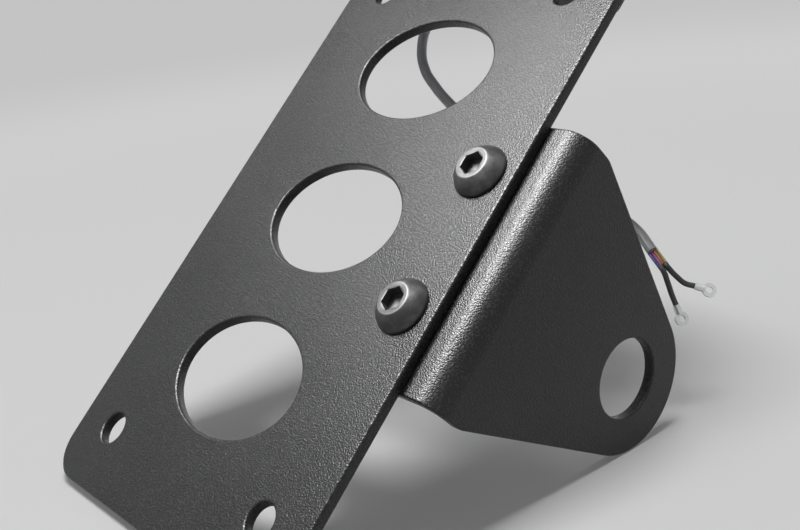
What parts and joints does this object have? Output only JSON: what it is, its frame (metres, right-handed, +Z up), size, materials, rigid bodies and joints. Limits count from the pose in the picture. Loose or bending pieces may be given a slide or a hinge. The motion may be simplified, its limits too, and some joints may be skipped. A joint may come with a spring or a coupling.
{
  "type": "side mount number plate holder",
  "caption": "Flat plate with oval openings and an LED lamp bar, on a bent side bracket that slips over a motorbike's wheel axle.",
  "frame": {"origin": "centre of the axle hole, midway through the thickness of the bracket's tab", "axes": "+X along the axle, out of the tab's outer face; +Z up the plate; the plate and its lamp face -Y"},
  "size_m": [0.1121, 0.1011, 0.206],
  "materials": {
    "black_powder_coat": "satin black powder coat with a fine grain",
    "black_oxide_steel": "black oxide with a worn flat ring",
    "zinc_steel": "bright zinc plate",
    "nylon": "natural nylon",
    "black_plastic": "fine textured black plastic",
    "red_lens": "clear red moulded lens",
    "clear_lens": "clear moulded window",
    "black_foam": "closed cell foam",
    "circuit_board": "green solder mask",
    "red_led": "red tinted epoxy",
    "white_led": "clear epoxy over a white body",
    "resistor_body": "tan enamel",
    "brass": "turned brass",
    "grommet_rubber": "moulded black rubber",
    "cable_jacket": "pale grey translucent jacket",
    "conductor_colours": "coloured insulation",
    "lead_sleeve": "dark shrink sleeve",
    "tinned_terminal": "tinned copper"
  },
  "bodies": {
    "root": {"backing_plate": "black_powder_coat", "side_bracket": "black_powder_coat", "bracket_screws": "black_oxide_steel", "bracket_washers": "zinc_steel", "bracket_lock_nuts": "zinc_steel", "lock_nut_rings": "nylon", "lamp_housing": "black_plastic", "lamp_lens": "red_lens", "plate_light_window": "clear_lens", "lamp_gasket": "black_foam", "lamp_circuit_board": "circuit_board", "tail_leds": "red_led", "plate_light_leds": "white_led", "lamp_resistors": "resistor_body", "lamp_screws": "zinc_steel", "lamp_inserts": "brass", "lamp_rear_cover": "black_plastic", "inner_cable": "cable_jacket", "cable_grommet": "grommet_rubber", "cable_jacket": "cable_jacket", "conductor_sleeves": "conductor_colours", "long_lead": "lead_sleeve", "short_lead": "lead_sleeve", "long_lead_terminal": "tinned_terminal", "short_lead_terminal": "tinned_terminal"}
  },
  "joints": []
}
